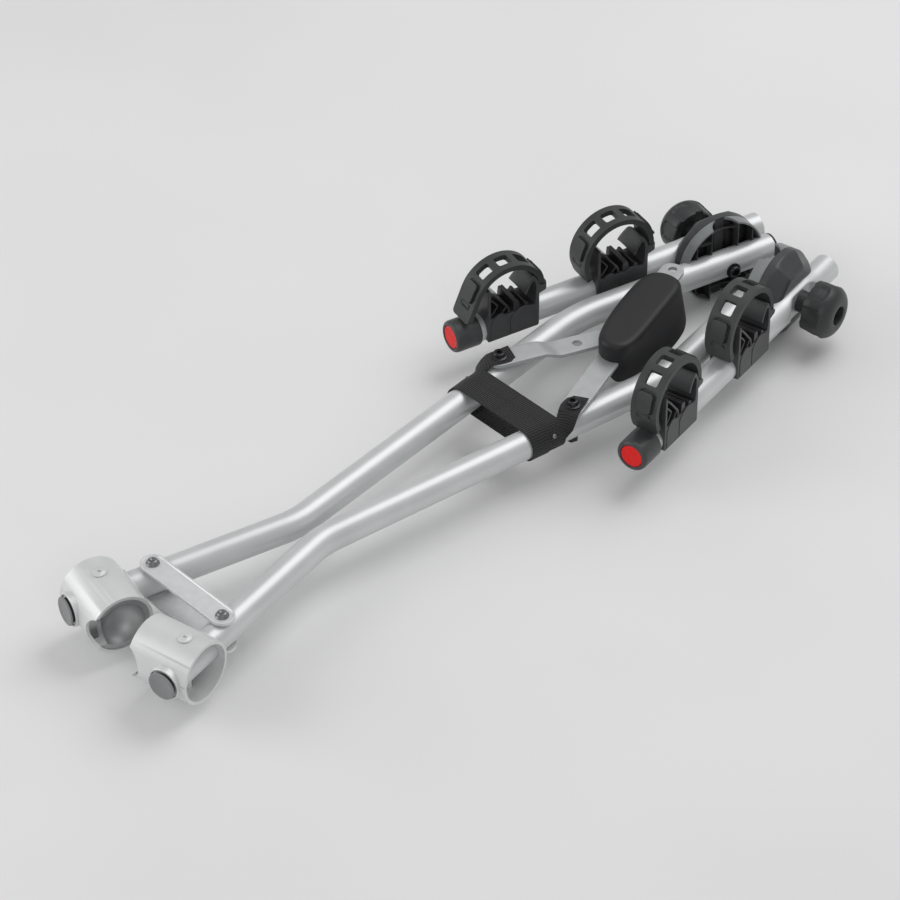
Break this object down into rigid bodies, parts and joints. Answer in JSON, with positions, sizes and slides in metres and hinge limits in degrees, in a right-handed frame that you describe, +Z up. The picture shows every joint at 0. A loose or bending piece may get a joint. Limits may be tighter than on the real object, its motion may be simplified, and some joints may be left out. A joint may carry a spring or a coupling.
{
  "type": "folding tow-ball bicycle rack",
  "caption": "Folding tow-ball rack for bicycles: two bent steel legs, a toggle lever that closes ball cups, and hinged arms with strapped frame cradles.",
  "frame": {"origin": "on the plane that the folded rack lies on, under the centre of its bounding box", "axes": "+X across the rack from leg A to leg B, +Y along the legs from the ball clamp to the arm hinges, +Z up, away from the ground it lies on"},
  "size_m": [0.2972, 0.9376, 0.133],
  "materials": {
    "tube_paint": "silver-grey satin paint on steel tube",
    "sleeve_paint": "light silver paint",
    "strip_steel": "zinc-plated strip, satin",
    "cup_steel": "pressed zinc-plated steel",
    "black_fastener": "black oxide",
    "zinc_fastener": "dark zinc",
    "washer_nylon": "natural nylon",
    "black_plastic": "moulded, fine grain",
    "dark_plastic": "moulded, satin",
    "strap_rubber": "moulded rubber, satin",
    "pad_rubber": "soft moulded rubber",
    "webbing": "ribbed woven webbing",
    "reflector_red": "prismatic reflector",
    "brass": "turned brass"
  },
  "bodies": {
    "links": {"link_plate_upper": "strip_steel", "link_plate_lower": "strip_steel", "link_bolts": "zinc_fastener", "link_nuts": "zinc_fastener", "link_washers": "washer_nylon", "web_span_a": "webbing", "web_span_b": "webbing"},
    "leg_a": {"leg_tube_a": "tube_paint", "clamp_sleeve_a": "sleeve_paint", "ball_cup_a": "cup_steel", "foot_plug_a": "dark_plastic", "top_plug_a": "black_plastic", "sleeve_rivet_a": "cup_steel", "toggle_bolt_a": "black_fastener", "toggle_nut_a": "black_fastener", "hinge_bolt_a": "black_fastener", "leg_saddle_a": "dark_plastic", "web_wrap_a": "webbing"},
    "leg_b": {"leg_tube_b": "tube_paint", "clamp_sleeve_b": "sleeve_paint", "ball_cup_b": "cup_steel", "foot_plug_b": "dark_plastic", "top_plug_b": "black_plastic", "sleeve_rivet_b": "cup_steel", "toggle_bolt_b": "black_fastener", "toggle_nut_b": "black_fastener", "hinge_bolt_b": "black_fastener", "leg_saddle_b": "dark_plastic", "web_wrap_b": "webbing"},
    "toggle_link": {"toggle_link": "strip_steel"},
    "toggle_lever": {"toggle_lever": "strip_steel", "toggle_pin": "zinc_fastener", "grip_cover": "black_plastic", "grip_base": "black_plastic", "grip_screws": "zinc_fastener"},
    "arm_a": {"arm_tube_a": "tube_paint", "arm_saddle_a": "dark_plastic", "end_cap_a": "dark_plastic", "reflector_a": "reflector_red", "cradle_a1": "dark_plastic", "cradle_a2": "dark_plastic", "cradle_pad_a1": "pad_rubber", "cradle_pad_a2": "pad_rubber"},
    "knob_a": {"knob_a": "black_plastic", "knob_nut_a": "brass"},
    "strap_a1": {"strap_a1": "strap_rubber"},
    "strap_a2": {"strap_a2": "strap_rubber"},
    "arm_b": {"arm_tube_b": "tube_paint", "arm_saddle_b": "dark_plastic", "end_cap_b": "dark_plastic", "reflector_b": "reflector_red", "cradle_b1": "dark_plastic", "cradle_b2": "dark_plastic", "cradle_pad_b1": "pad_rubber", "cradle_pad_b2": "pad_rubber"},
    "knob_b": {"knob_b": "black_plastic", "knob_nut_b": "brass"},
    "strap_b1": {"strap_b1": "strap_rubber"},
    "strap_b2": {"strap_b2": "strap_rubber"}
  },
  "joints": [
    {"name": "leg_a_spread", "type": "hinge", "parent": "links", "child": "leg_a", "pos_m": [-0.0512, -0.37238, 0.049], "axis": [0, 0, 1], "range_deg": [0, 12.3]},
    {"name": "leg_b_spread", "type": "hinge", "parent": "links", "child": "leg_b", "pos_m": [0.0512, -0.37238, 0.049], "axis": [0, 0, 1], "range_deg": [-12.3, 0]},
    {"name": "toggle_link_swing", "type": "hinge", "parent": "leg_a", "child": "toggle_link", "pos_m": [-0.05338, 0.08669, 0.049], "axis": [0, 0, 1], "range_deg": [-81.62, 0]},
    {"name": "toggle_lever_swing", "type": "hinge", "parent": "leg_b", "child": "toggle_lever", "pos_m": [0.05338, 0.08669, 0.049], "axis": [0, 0, 1], "range_deg": [0, 81.62]},
    {"name": "arm_a_unfold", "type": "hinge", "parent": "leg_a", "child": "arm_a", "pos_m": [-0.06465, 0.40115, 0.049], "axis": [-0.977, 0.213, 0], "range_deg": [0, 90]},
    {"name": "knob_a_turn", "type": "hinge", "parent": "leg_a", "child": "knob_a", "pos_m": [-0.09396, 0.40754, 0.049], "axis": [-0.977, 0.213, 0], "continuous": true},
    {"name": "strap_a1_open", "type": "hinge", "parent": "arm_a", "child": "strap_a1", "pos_m": [-0.11026, 0.19196, 0.085], "axis": [-0.977, 0.213, 0], "range_deg": [0, 75]},
    {"name": "strap_a2_open", "type": "hinge", "parent": "arm_a", "child": "strap_a2", "pos_m": [-0.08171, 0.32289, 0.085], "axis": [-0.977, 0.213, 0], "range_deg": [0, 75]},
    {"name": "arm_b_unfold", "type": "hinge", "parent": "leg_b", "child": "arm_b", "pos_m": [0.06465, 0.40115, 0.049], "axis": [-0.977, -0.213, 0], "range_deg": [0, 90]},
    {"name": "knob_b_turn", "type": "hinge", "parent": "leg_b", "child": "knob_b", "pos_m": [0.09396, 0.40754, 0.049], "axis": [0.977, 0.213, 0], "continuous": true},
    {"name": "strap_b1_open", "type": "hinge", "parent": "arm_b", "child": "strap_b1", "pos_m": [0.11026, 0.19196, 0.085], "axis": [-0.977, -0.213, 0], "range_deg": [0, 75]},
    {"name": "strap_b2_open", "type": "hinge", "parent": "arm_b", "child": "strap_b2", "pos_m": [0.08044, 0.32875, 0.085], "axis": [-0.977, -0.213, 0], "range_deg": [0, 75]}
  ],
  "couplings": [
    {"joint": "leg_b_spread", "follows": "leg_a_spread", "ratio": -1},
    {"joint": "toggle_link_swing", "follows": "leg_a_spread", "ratio": -6.6353},
    {"joint": "toggle_lever_swing", "follows": "leg_a_spread", "ratio": 6.6353}
  ]
}
